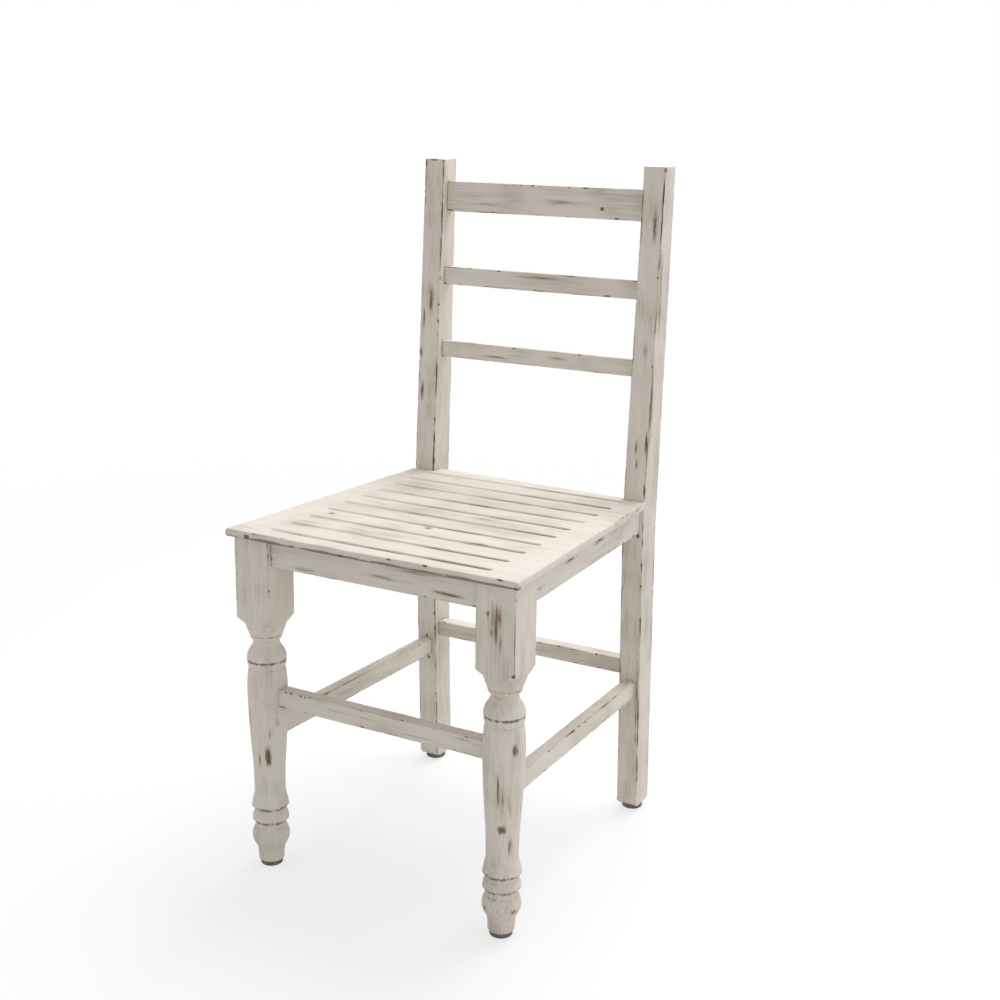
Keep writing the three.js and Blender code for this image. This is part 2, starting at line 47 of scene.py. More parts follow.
# Camera
# A long normal lens stands to the front right of the chair and a little above its top slat, turned to
# the chair's left and down on the seat; the horizon leans by less than a degree.
LENS_MM = 53.93
SENSOR_MM = 36
CAMERA_AT = (0.93467, -1.57894, 0.94814)
CAMERA_TURN = math.radians(29.17)
CAMERA_TILT = math.radians(14.75)
CAMERA_ROLL = math.radians(0.90)

camera_data = bpy.data.cameras.new("camera")
camera_data.lens = LENS_MM
camera_data.sensor_width = SENSOR_MM
camera = bpy.data.objects.new("camera", camera_data)
bpy.context.scene.collection.objects.link(camera)
camera.matrix_world = (
    Matrix.Translation(CAMERA_AT)
    @ Matrix.Rotation(CAMERA_TURN, 4, "Z")
    @ Matrix.Rotation(math.pi / 2 - CAMERA_TILT, 4, "X")
    @ Matrix.Rotation(CAMERA_ROLL, 4, "Z")
)
bpy.context.scene.camera = camera

# Front legs
# Each leg is one square stick of softwood, turned below the block and left square above it for the
# apron mortises; brown stain, then a thin coat of white paint, rubbed through on rings and arrises.
LEG_BLOCK_LENGTH = 0.102
LEG_PATTERN_LENGTH = 0.331
LEG_SIDES = 72
STICK_ARRIS = 0.0015
STICK_ARRIS_CUTS = 3
RUN_OUT = 0.001
# The turning in millimetres: its radius at the foot, its radius where it runs out past the corners of
# the block, then its stretches from the foot up. Each has its end height, its end radius, how far its
# middle stands out, how many cuts it gets, and whether it is a round bead
LEG_FOOT_RADIUS = 15.6
LEG_CORNER = 37
LEG_STRETCHES = [
    (3, 16.4, 0.2, 3, False),
    (20, 18.6, -0.7, 8, False),
    (46, 20.2, 4.3, 16, False),
    (55.5, 19.6, -0.2, 4, False),
    (56.5, 23.2, 0, 2, False),
    (68, 20, 1, 8, False),
    (74.5, 19.6, -0.2, 3, False),
    (75.5, 23.6, 0, 2, False),
    (93, 19.7, 0.3, 9, False),
    (132, 20.4, -0.2, 12, False),
    (226, 25.3, 0.7, 26, False),
    (253, 24.1, 0.5, 8, False),
    (262, 22.1, 0.6, 6, False),
    (272.6, 23.7, 1.1, 9, True),
    (273.2, 24.6, 0, 1, False),
    (289.5, 18.6, 1.9, 12, False),
    (298, 16.2, -0.5, 6, False),
    (305.2, 19.6, 1.6, 8, True),
    (305.7, 20.6, 0, 1, False),
    (322, 26.2, 0.3, 9, False),
    (331, LEG_CORNER, 0, 4, False),
]
# Darkening in the turning's grooves and under its lips, dirt and painted shade together: its height and
# reach in millimetres, and how strong it is
LEG_CREASES = [
    (54.8, 4.2, 1.9),
    (46.0, 2.0, 0.8),
    (74.0, 4.2, 2.1),
    (262, 1.5, 0.75),
    (272.4, 3.0, 1.6),
    (299, 1.6, 0.6),
    (305.4, 1.6, 0.9),
]
LEG_DIRT_AND_SHADE_MOST = 1.5
LEG_BLOCK_SLICE = 0.0035
LEG_BLOCK_CUTS = (-1, -0.45, 0, 0.45, 1)
LEG_UNEVENNESS = 0.7
# The paint from fresh to stained, the dirt and painted shade on it, and the wood below it
PAINT_WHITE = (0.775, 0.722, 0.652)
PAINT_THIN = (0.60, 0.54, 0.46)
PAINT_RUBBED = (0.36, 0.285, 0.205)
PAINT_STAINED = (0.33, 0.235, 0.15)
PAINT_GRIME_AND_SHADE = (0.13, 0.10, 0.07)
WOOD_DARK = (0.07, 0.047, 0.03)
WOOD_WARM = (0.215, 0.145, 0.088)
PAINT_FILM = 0.00016
BRUSH_RIDGE = 0.00005
GRAIN_DEPTH = 0.00012
# Marks, here and on the other pieces: where, how far they reach along X, Y and Z, and how strong they
# are; a strong mark is worn to the wood in its middle, a weak one is hatched with it
FRONT_LEG_MARKS = [
    ((0.171, -0.215, 0.394), (0.0030, 0.01, 0.036), 1.8),
    ((0.1745, -0.215, 0.402), (0.0055, 0.01, 0.020), 1.45),
    ((0.168, -0.215, 0.397), (0.0135, 0.01, 0.034), 0.92),
    ((0.176, -0.215, 0.372), (0.0035, 0.01, 0.020), 1.4),
    ((0.160, -0.215, 0.405), (0.0040, 0.01, 0.007), 1.5),
    ((0.165, -0.215, 0.384), (0.0035, 0.01, 0.008), 1.3),
    ((0.195, -0.215, 0.379), (0.0016, 0.0016, 0.054), 2.2),
    ((0.194, -0.214, 0.336), (0.004, 0.004, 0.006), 2.2),
    ((0.1905, -0.202, 0.243), (0.007, 0.006, 0.012), 1.7),
    ((0.175, -0.212, 0.196), (0.0030, 0.006, 0.036), 1.35),
    ((0.180, -0.209, 0.184), (0.0030, 0.006, 0.030), 1.05),
    ((0.186, -0.203, 0.178), (0.0030, 0.006, 0.026), 1.0),
    ((0.178, -0.2075, 0.1445), (0.0085, 0.008, 0.0085), 2.0),
    ((0.1855, -0.2005, 0.123), (0.0035, 0.006, 0.020), 1.3),
    ((-0.1575, -0.2065, 0.156), (0.0055, 0.008, 0.024), 1.9),
    ((-0.1575, -0.2045, 0.188), (0.008, 0.008, 0.014), 1.3),
    ((-0.168, -0.212, 0.150), (0.0035, 0.008, 0.016), 1.3),
    ((-0.181, -0.209, 0.205), (0.0035, 0.008, 0.022), 1.15),
    ((-0.163, -0.212, 0.123), (0.003, 0.008, 0.014), 1.15),
    ((-0.149, -0.198, 0.200), (0.004, 0.006, 0.014), 1.2),
    ((0.158, -0.212, 0.040), (0.006, 0.008, 0.006), 1.5),
    ((0.192, -0.199, 0.038), (0.006, 0.008, 0.006), 1.5),
]


def select_only(piece, mode="OBJECT"):
    if bpy.context.object and bpy.context.object.mode != "OBJECT":
        bpy.ops.object.mode_set(mode="OBJECT")
    bpy.ops.object.select_all(action="DESELECT")
    piece.select_set(True)
    bpy.context.view_layer.objects.active = piece
    bpy.ops.object.mode_set(mode=mode)


WELD = 1e-6
STILL_FLAT = math.radians(0.5)


def copy_of_node(node, name):
    """A copy of a frame node to work on, its loose triangles welded and its flat faces made whole."""
    piece = bpy.data.objects.new(name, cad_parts[node].data.copy())
    bpy.context.scene.collection.objects.link(piece)
    piece.data.materials.clear()
    select_only(piece, "EDIT")
    bpy.ops.mesh.select_all(action="SELECT")
    bpy.ops.mesh.customdata_custom_splitnormals_clear()
    bpy.ops.mesh.remove_doubles(threshold=WELD)
    bpy.ops.mesh.dissolve_limited(angle_limit=STILL_FLAT)
    bpy.ops.object.mode_set(mode="OBJECT")
    return piece


def apply_modifier(piece, kind, **settings):
    select_only(piece)
    modifier = piece.modifiers.new(kind.lower(), kind)
    for name, value in settings.items():
        setattr(modifier, name, value)
    bpy.ops.object.modifier_apply(modifier=modifier.name)


def boolean(piece, other, operation):
    """Cuts or trims a piece with another object, which is used up."""
    apply_modifier(piece, "BOOLEAN", operation=operation, solver="EXACT", object=other)
    bpy.data.objects.remove(other)


FIT = 0.0003


def let_in(piece, *nodes):
    """Cuts the pockets in which frame nodes sit, with the fit all round them."""
    for node in nodes:
        cutter = copy_of_node(node, "cutter")
        select_only(cutter, "EDIT")
        bpy.ops.mesh.select_all(action="SELECT")
        bpy.ops.transform.shrink_fatten(value=FIT, use_even_offset=True)
        boolean(piece, cutter, "DIFFERENCE")


def slice_across(piece, normal, places, between=None):
    """Cuts a mesh into strips square to a direction, all of it or its faces between two levels."""
    select_only(piece, "EDIT")
    bpy.ops.mesh.select_mode(type="FACE")
    for place in places:
        bpy.ops.mesh.select_all(action="SELECT")
        if between:
            bpy.ops.object.mode_set(mode="OBJECT")
            centres = np.empty(len(piece.data.polygons) * 3)
            piece.data.polygons.foreach_get("center", centres)
            heights = centres[2::3]
            piece.data.polygons.foreach_set("select", (heights > between[0]) & (heights < between[1]))
            bpy.ops.object.mode_set(mode="EDIT")
        bpy.ops.mesh.bisect(plane_co=place * Vector(normal), plane_no=normal)
    bpy.ops.object.mode_set(mode="OBJECT")


def steps_between(low, high, step):
    """The places that part a length into even steps of about one size."""
    count = max(1, round((high - low) / step))
    return [low + (high - low) * i / count for i in range(1, count)]


def points_of(piece):
    """The places of a mesh's points, one row each."""
    flat = np.empty(len(piece.data.vertices) * 3)
    piece.data.vertices.foreach_get("co", flat)
    return flat.reshape(-1, 3)


def store(piece, name, values):
    """Keeps one number or one vector for each vertex, for the finish to read."""
    kind, field = ("FLOAT_VECTOR", "vector") if values.ndim == 2 else ("FLOAT", "value")
    attribute = piece.data.attributes.new(name, kind, "POINT")
    attribute.data.foreach_set(field, values.astype(np.float32).ravel())


def below_faces(section, half):
    """How far points lie in from the nearest face of a bar, and how far from its nearest arris."""
    first = (1 - np.abs(section[:, 0])) * half[0]
    second = (1 - np.abs(section[:, 1])) * half[1]
    return np.minimum(first, second), first + second


# How deep the skin waves and the arrises are nibbled, how far the nibbles reach from an arris, and
# how far from it a face is cut to hold them
SKIN_WAVE = 0.0004
CHIP_DEPTH = 0.0008
CHIP_REACH = 0.0022
ARRIS_CUT = 0.0032
SMOOTH_BELOW = math.radians(35)


def clouds(name, size, contrast=1.0, brightness=1.0):
    texture = bpy.data.textures.new(name, "CLOUDS")
    texture.noise_scale = size
    texture.noise_depth = 2
    texture.use_clamp = True
    texture.contrast = contrast
    texture.intensity = brightness
    return texture


HAND_PLANED = clouds("hand_planed", size=0.045)
NIBBLED = clouds("nibbled", size=0.007, contrast=5.0, brightness=0.0)


def wear_down(piece, skin, arris):
    """Leaves the skin a little uneven and nibbles the arrises; stores how deep each point is chipped."""
    for group, weights in (("skin", skin), ("arris", arris)):
        made = piece.vertex_groups.new(name=group)
        for index in np.nonzero(weights)[0]:
            made.add([int(index)], float(weights[index]), "REPLACE")
    apply_modifier(
        piece, "DISPLACE", texture=HAND_PLANED, texture_coords="LOCAL", vertex_group="skin",
        strength=SKIN_WAVE, mid_level=1.0,
    )
    before = points_of(piece)
    apply_modifier(
        piece, "DISPLACE", texture=NIBBLED, texture_coords="LOCAL", vertex_group="arris",
        strength=-CHIP_DEPTH, mid_level=0.0,
    )
    store(piece, "chip", np.linalg.norm(points_of(piece) - before, axis=1) / CHIP_DEPTH)
    piece.vertex_groups.clear()
    select_only(piece)
    bpy.ops.object.shade_smooth_by_angle(angle=SMOOTH_BELOW)


class Field:
    """A value that changes over a surface; arithmetic on it adds the shader's Math nodes."""

    def __init__(self, recipe, socket):
        self.recipe = recipe
        self.socket = socket

    def math(self, operation, *values):
        return self.recipe.node("ShaderNodeMath", {"operation": operation}, dict(enumerate(values)))

    def __add__(self, other):
        return self.math("ADD", self, other)

    def __sub__(self, other):
        return self.math("SUBTRACT", self, other)

    def __rsub__(self, other):
        return self.math("SUBTRACT", other, self)

    def __mul__(self, other):
        return self.math("MULTIPLY", self, other)

    __radd__ = __add__
    __rmul__ = __mul__

    def size(self):
        return self.math("ABSOLUTE", self)

    def most(self, other):
        return self.math("MAXIMUM", self, other)

    def swing(self, amount):
        """A noise made to swing round 0 by half the amount to each side."""
        return (self - 0.5) * amount

    def above(self, low, high):
        """Rises softly from 0 at low to 1 at high."""
        settings = {"interpolation_type": "SMOOTHSTEP"}
        return self.recipe.node("ShaderNodeMapRange", settings, {0: self, 1: low, 2: high})


class Recipe:
    """The nodes of one material or of the world."""

    def __init__(self, owner):
        owner.use_nodes = True
        self.nodes = owner.node_tree.nodes
        self.links = owner.node_tree.links

    def node(self, kind, settings, inputs, output=0):
        made = self.nodes.new(kind)
        for name, value in settings.items():
            setattr(made, name, value)
        self.feed(made, inputs)
        return Field(self, made.outputs[output])

    def feed(self, made, inputs):
        for name, value in inputs.items():
            if isinstance(value, Field):
                self.links.new(value.socket, made.inputs[name])
            else:
                made.inputs[name].default_value = value


GLOSS = 0.35


class Finish(Recipe):
    """One material."""

    def __init__(self, name):
        self.material = bpy.data.materials.new(name)
        super().__init__(self.material)
        self.surface = self.nodes["Principled BSDF"]
        self.point = self.node("ShaderNodeTexCoord", {}, {}, "Object")

    def attribute(self, name, output="Fac"):
        return self.node("ShaderNodeAttribute", {"attribute_name": name}, {}, output)

    def scaled(self, factors):
        return self.node("ShaderNodeVectorMath", {"operation": "MULTIPLY"}, {0: self.point, 1: factors})

    def noise(self, factors, detail=3.0, roughness=0.55):
        """Cloudy noise with so many lumps to the metre along X, Y and Z."""
        inputs = {"Vector": self.scaled(factors), "Scale": 1.0, "Detail": detail, "Roughness": roughness}
        return self.node("ShaderNodeTexNoise", {}, inputs)

    def blend(self, amount, first, second):
        """Mixes two colours."""
        first, second = ((*c, 1.0) if isinstance(c, tuple) else c for c in (first, second))
        settings = {"data_type": "RGBA", "clamp_factor": True}
        return self.node("ShaderNodeMix", settings, {0: amount, 6: first, 7: second}, 2)

    def nearness(self, centre, reach):
        """1 at a place, falling to 0 at its reach along X, Y and Z."""
        factors = tuple(1 / r for r in reach)
        scaled_centre = tuple(c / r for c, r in zip(centre, reach))
        inputs = {0: self.scaled(factors), 1: scaled_centre}
        away = self.node("ShaderNodeVectorMath", {"operation": "DISTANCE"}, inputs, "Value")
        return (1 - away).most(0.0)

    def finish_with(self, colour, roughness, height):
        inputs = {"Strength": 1.0, "Distance": 1.0, "Height": height}
        normal = self.node("ShaderNodeBump", {}, inputs, "Normal")
        self.feed(self.surface, {"Base Color": colour, "Roughness": roughness, "Normal": normal})
        self.feed(self.surface, {"Specular IOR Level": GLOSS})
        return self.material


def along_grain(axis, across, along):
    return tuple(along if i == axis else across for i in range(3))


# Lumps to the metre of the noises in wood and paint, across the grain and along it
FINE_STREAKS = (900, 26)
LONG_LINES = (560, 13)
WOOD_FIGURE = (130, 6)
BROAD_SMEARS = (60, 11)
RAGGED_ENDS = (170, 30)
HATCHING = (1300, 40)
PATCHES = (13, 13, 13)
# Between which two values each kind of wear, dirt and painted shade comes in
BRUSHED_TO_WOOD = (0.55, 0.62)
BRUSHED_THIN = (-0.04, 0.45)
RUBBED_TO_WOOD = (0.0004, 0.0009)
RUBBED_THIN = (-0.0010, 0.0008)
CHIPPED = (0.3, 0.5)
DIRTY_AND_SHADED = (0.25, 0.9)
SCOUR_AND_SHADE_TO_WOOD = (0.72, 1.15)
SCOUR_AND_SHADE_THIN = (0.1, 0.85)
MARKED_TO_WOOD = (0.72, 1.05)
MARKED_THIN = (0.2, 0.95)
# In metres: how far the rubbing wanders off an arris, how deep a bar's own arris is eased, how far
# from an arris the chips show wood, and how far dirt comes out of a joint
RUB_TO_WOOD_WANDER = 0.0022
RUB_THIN_WANDER = 0.003
BAR_EASE = 0.0009
CHIP_SHOWS = 0.0034
CHIP_FADE = 0.0008
JOINT_DIRT = 0.0011
JOINT_DIRT_WANDER = 0.004
JOINT_DIRT_FADE = 0.0012
# How much of each layer shows
BRUSHED_SHARE = 0.8
SCOUR_AND_SHADE_SHARE = 0.75
SCOUR_AND_SHADE_THIN_SHARE = 1.25
MARKED_SHARE = 0.9
JOINT_SHARE = 0.75
RUBBED_SHARE = 0.46
STAINED_SHARE = 0.72
GRIME_AND_SHADE_SHARE = 0.8
PAINT_ROUGHNESS = 0.6


def worn_paint(name, axis, half=None, marks=(), seat=False, ease=BAR_EASE):
    """White paint on brown wood: the grain runs along axis, half gives a bar's half sizes across it."""
    finish = Finish(name)
    fine = finish.noise(along_grain(axis, *FINE_STREAKS), detail=3.0, roughness=0.6)
    lines = finish.noise(along_grain(axis, *LONG_LINES), detail=4.0, roughness=0.62)
    figure = finish.noise(along_grain(axis, *WOOD_FIGURE), detail=2.0)
    patch = finish.noise(PATCHES, detail=2.0)
    broad = finish.noise(along_grain(axis, *BROAD_SMEARS), detail=2.0)
    ragged = finish.noise(along_grain(axis, *RAGGED_ENDS), detail=3.0)
    crumble = lines.swing(1.3) + fine.swing(1)

    # In streaks the coat was brushed thin, and here and there it has gone
    thin = lines.swing(1.15) + patch.swing(1) + broad.swing(0.8) + fine.swing(0.35)
    bared_and_shaded = thin.above(*BRUSHED_TO_WOOD) * BRUSHED_SHARE
    thinned_and_shaded = thin.above(*BRUSHED_THIN)

    # Hands and cloths rub it off along the arrises, and knocks chip them
    if half:
        section = finish.attribute("section", "Vector")
        parts = [finish.node("ShaderNodeSeparateXYZ", {}, {0: section}, i) for i in range(3)]
        to_arris = (1 - parts[0].size()) * half[0] + (1 - parts[1].size()) * half[1]
    else:
        to_arris = finish.attribute("to_arris")
    rub = ragged.swing(2.2) + patch.swing(1.6) + fine.swing(1)
    bared_and_shaded = bared_and_shaded.most((rub * RUB_TO_WOOD_WANDER + ease - to_arris).above(*RUBBED_TO_WOOD))
    thinned_and_shaded = thinned_and_shaded.most((rub * RUB_THIN_WANDER + ease - to_arris).above(*RUBBED_THIN))
    chipped = (finish.attribute("chip") + fine.swing(0.5)).above(*CHIPPED)
    bared_and_shaded = bared_and_shaded.most(chipped * (CHIP_SHOWS - to_arris).above(0.0, CHIP_FADE))

    # Dirt sits round the joints; in the turning's grooves and at the seat's rim the darkening is
    # dirt and painted shade
    grime_and_shade = finish.attribute("crease") * (0.62 + ragged.swing(2.4) + crumble * 0.5)
    grime_and_shade = grime_and_shade.above(*DIRTY_AND_SHADED)
    if half:
        joint = (JOINT_DIRT - parts[2] + ragged.swing(JOINT_DIRT_WANDER)).above(0.0, JOINT_DIRT_FADE)
        grime_and_shade = grime_and_shade.most(joint * JOINT_SHARE)

    # The seat is scoured along its flutes, more towards its right side, and the flutes are painted
    # darker
    # the deeper they go: worn paint and painted shade in the grooves
    if seat:
        depth = finish.attribute("flute")
        sideways = finish.node("ShaderNodeSeparateXYZ", {}, {0: finish.point})
        scoured_and_shaded = depth * 1.05 + lines.swing(1.6) + broad.swing(1.8) + patch.swing(1.2)
        scoured_and_shaded = scoured_and_shaded + sideways * 2.2
        in_flute = depth.above(0.15, 0.5)
        at_flute = depth.above(0.02, 0.4)
        bared_and_shaded = bared_and_shaded.most(scoured_and_shaded.above(*SCOUR_AND_SHADE_TO_WOOD) * in_flute * SCOUR_AND_SHADE_SHARE)
        thinned_and_shaded = thinned_and_shaded.most(scoured_and_shaded.above(*SCOUR_AND_SHADE_THIN) * at_flute * SCOUR_AND_SHADE_THIN_SHARE)

    # The marks are hatched with bare wood, and stained round it
    marked = [finish.nearness(centre, size) * strength for centre, size, strength in marks]
    near = functools.reduce(Field.most, marked)
    seen = near.above(0.0, 0.15)
    hatch = finish.noise(along_grain(axis, *HATCHING), detail=2.0).swing(2.6) + crumble * 0.7
    bared_and_shaded = bared_and_shaded.most((near * 0.85 + hatch).above(*MARKED_TO_WOOD) * seen * MARKED_SHARE)
    stained = (near * 0.85 + hatch * 0.5).above(*MARKED_THIN) * seen

    # The colours lie in the order in which they came: wood, paint, wear with the painted shade in the
    # seat's flutes, then dirt and painted shade
    wood = finish.blend(figure.above(0.35, 0.65) * 0.6 + fine * 0.4, WOOD_DARK, WOOD_WARM)
    strokes = figure * 0.5 + fine * 0.5
    mottle = strokes.above(0.35, 0.65) * 0.32 + patch.above(0.35, 0.7) * 0.22
    paint = finish.blend(mottle, PAINT_WHITE, PAINT_THIN)
    paint = finish.blend(thinned_and_shaded * RUBBED_SHARE, paint, PAINT_RUBBED)
    paint = finish.blend(stained * STAINED_SHARE, paint, PAINT_STAINED)
    colour = finish.blend(bared_and_shaded, paint, wood)
    colour = finish.blend(grime_and_shade * GRIME_AND_SHADE_SHARE, colour, PAINT_GRIME_AND_SHADE)
    roughness = PAINT_ROUGHNESS + bared_and_shaded * 0.25 + strokes.swing(0.2)
    film = (1 - bared_and_shaded) * (strokes * BRUSH_RIDGE + PAINT_FILM)
    return finish.finish_with(colour, roughness, film + lines * GRAIN_DEPTH * (0.25 + bared_and_shaded))


def dress(piece, node, material):
    """Gives a piece its finish and its place on the chair."""
    piece.data.materials.append(material)
    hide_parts(node)
    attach(piece, "root")


def turned_radius(height):
    """The radius of the turning at a height, both in millimetres."""
    bottom, start = 0, LEG_FOOT_RADIUS
    for top, radius, swell, _, bead in LEG_STRETCHES:
        if height <= top:
            t = (height - bottom) / (top - bottom)
            return start + (radius - start) * t + swell * (4 * t * (1 - t)) ** (0.5 if bead else 1)
        bottom, start = top, radius
    return start


def turned_heights():
    """The heights in millimetres at which the turning gets a ring of points."""
    heights = [0]
    for top, _, _, cuts, _ in LEG_STRETCHES:
        bottom = heights[-1]
        heights += [bottom + (top - bottom) * (i + 1) / cuts for i in range(cuts)]
    return heights


leg_low, leg_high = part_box("front_leg_right")
leg_centre = (leg_low + leg_high) / 2
leg_half = (leg_high.x - leg_low.x) / 2
leg_rise = (leg_high.z - LEG_BLOCK_LENGTH - leg_low.z) / LEG_PATTERN_LENGTH

bpy.ops.mesh.primitive_circle_add(
    vertices=LEG_SIDES, radius=LEG_FOOT_RADIUS / 1000, location=(leg_centre.x, leg_centre.y, leg_low.z)
)
front_leg = bpy.context.object
bpy.ops.object.transform_apply()
bpy.ops.object.mode_set(mode="EDIT")
bpy.ops.mesh.select_all(action="SELECT")
rings = [(leg_low.z + h / 1000 * leg_rise, turned_radius(h)) for h in turned_heights()]
rings.append((leg_high.z + RUN_OUT, LEG_CORNER))
for (z0, r0), (z1, r1) in zip(rings, rings[1:]):
    bpy.ops.mesh.extrude_region_move(TRANSFORM_OT_translate={"value": (0, 0, z1 - z0)})
    ring_centre = (leg_centre.x, leg_centre.y, z1)
    bpy.ops.transform.resize(value=(r1 / r0, r1 / r0, 1), center_override=ring_centre)
bpy.ops.mesh.select_all(action="SELECT")
bpy.ops.mesh.fill_holes(sides=0)
bpy.ops.mesh.select_all(action="SELECT")
bpy.ops.mesh.normals_make_consistent(inside=False)
bpy.ops.object.mode_set(mode="OBJECT")

bpy.ops.mesh.primitive_cube_add(
    size=1, location=leg_centre, scale=(2 * leg_half, 2 * leg_half, leg_high.z - leg_low.z)
)
stick = bpy.context.object
bpy.ops.object.transform_apply()
for edge in stick.data.edges:
    a, b = (stick.data.vertices[i].co for i in edge.vertices)
    edge.select = abs(a.z - b.z) > leg_half
bpy.ops.object.mode_set(mode="EDIT")
bpy.ops.mesh.select_mode(type="EDGE")
bpy.ops.mesh.bevel(offset=STICK_ARRIS, segments=STICK_ARRIS_CUTS)
bpy.ops.object.mode_set(mode="OBJECT")
boolean(front_leg, stick, "INTERSECT")

block_span = (leg_low.z + LEG_STRETCHES[-2][0] / 1000 * leg_rise, leg_high.z)
front_leg_finish = worn_paint("white_paint_on_leg", 2, (leg_half, leg_half), FRONT_LEG_MARKS)
for side, shift in (("right", 0.0), ("left", -2 * leg_centre.x)):
    leg = bpy.data.objects.new(f"painted_front_leg_{side}", front_leg.data.copy())
    bpy.context.scene.collection.objects.link(leg)
    leg.data.transform(Matrix.Translation((shift, 0, 0)))
    let_in(leg, "front_apron", f"{side}_apron", "front_stretcher", f"{side}_stretcher")
    let_in(leg, f"front_{side}_nail")
    middle = Vector((leg_centre.x + shift, leg_centre.y, 0))
    slice_across(leg, (0, 0, 1), steps_between(*block_span, LEG_BLOCK_SLICE), block_span)
    for axis, normal in ((0, (1, 0, 0)), (1, (0, 1, 0))):
        places = [middle[axis] + share * (leg_half - ARRIS_CUT) for share in LEG_BLOCK_CUTS]
        slice_across(leg, normal, places, block_span)
    points = points_of(leg)
    section = (points - np.array(middle)) / leg_half
    # The legs have no joint line of their own, so all of a leg counts as 1 m away from one
    section[:, 2] = 1
    store(leg, "section", section)
    patterns = (points[:, 2] - leg_low.z) / leg_rise * 1000
    # Darker in the turning's grooves and under its lips: dirt and painted shade
    dirt_and_shade = [
        strength * (1 - np.abs(patterns - height) / reach) for height, reach, strength in LEG_CREASES
    ]
    store(leg, "crease", np.clip(np.max(dirt_and_shade, axis=0), 0, LEG_DIRT_AND_SHADE_MOST))
    radii = np.array([turned_radius(h) for h in patterns]) / 1000
    from_axis = np.hypot(section[:, 0], section[:, 1]) * leg_half
    beyond = np.abs(section[:, :2]).max(axis=1) * leg_half
    to_arris = below_faces(section, (leg_half, leg_half))[1]
    skin = (from_axis > radii - FIT) | (beyond > leg_half - FIT) | (to_arris < STICK_ARRIS + FIT)
    skin &= (points[:, 2] > leg_low.z + RUN_OUT) & (points[:, 2] < leg_high.z - RUN_OUT)
    wear_down(leg, skin * LEG_UNEVENNESS, skin * (to_arris < CHIP_REACH))
    dress(leg, f"front_leg_{side}", front_leg_finish)
bpy.data.objects.remove(front_leg)

# Back posts
# Each post is sawn from one thick board to a soft bend at the seat, planed and mortised for slats,
# aprons and stretchers; the paint is rubbed through along the arrises and smudged on the front faces.
POST_SLICE = 0.0032
POST_HALF = (0.015, 0.018)
POST_CHAMFER = 0.0015
# A ring of points narrower than this, front to back, lies in a mortise and not on the outline
POST_OUTLINE_MIN = 0.028
# From where to where a post is straight, above the bend and below it
POST_STRAIGHTS = ((0.52, 0.87), (0.02, 0.36))
POST_MARKS = [
    ((0.1775, 0.189, 0.720), (0.0018, 0.012, 0.090), 1.5),
    ((0.1770, 0.174, 0.580), (0.0018, 0.010, 0.090), 1.6),
    ((0.167, 0.186, 0.802), (0.0060, 0.008, 0.036), 1.35),
    ((0.1742, 0.1695, 0.526), (0.0030, 0.006, 0.024), 1.6),
    ((0.1605, 0.1685, 0.520), (0.0030, 0.006, 0.014), 1.4),
    ((0.1625, 0.1685, 0.498), (0.0030, 0.006, 0.012), 1.5),
    ((0.165, 0.176, 0.645), (0.0050, 0.006, 0.016), 1.15),
    ((0.1755, 0.166, 0.466), (0.003, 0.005, 0.014), 1.6),
    ((0.170, 0.165, 0.403), (0.004, 0.005, 0.005), 2.4),
    ((0.1733, 0.172, 0.157), (0.0022, 0.008, 0.120), 1.6),
    ((0.1768, 0.1907, 0.873), (0.004, 0.006, 0.005), 1.6),
    ((-0.1605, 0.179, 0.688), (0.0065, 0.008, 0.040), 1.4),
    ((-0.171, 0.177, 0.660), (0.004, 0.008, 0.024), 1.2),
    ((-0.174, 0.175, 0.614), (0.004, 0.008, 0.014), 1.5),
    ((-0.170, 0.1715, 0.561), (0.005, 0.008, 0.024), 1.4),
    ((-0.147, 0.167, 0.463), (0.0035, 0.005, 0.008), 1.8),
    ((-0.176, 0.190, 0.872), (0.004, 0.006, 0.007), 2.0),
    ((-0.163, 0.190, 0.876), (0.012, 0.004, 0.003), 1.5),
    ((-0.1615, 0.1726, 0.1986), (0.003, 0.005, 0.004), 2.0),
    ((-0.1587, 0.1739, 0.1654), (0.0035, 0.005, 0.004), 2.0),
    ((-0.164, 0.172, 0.115), (0.003, 0.008, 0.020), 0.8),
]


def outline_at(points, wanted):
    """Front and back of a post at wanted heights, from the rings of points that the slices left."""
    levels = {}
    for y, z in points[:, 1:].tolist():
        low, high = levels.get(round(z, 4), (y, y))
        levels[round(z, 4)] = (min(low, y), max(high, y))
    whole = sorted((z, *ends) for z, ends in levels.items() if ends[1] - ends[0] > POST_OUTLINE_MIN)
    heights, fronts, backs = (np.array(column) for column in zip(*whole))
    return np.interp(wanted[:, 2], heights, fronts), np.interp(wanted[:, 2], heights, backs)


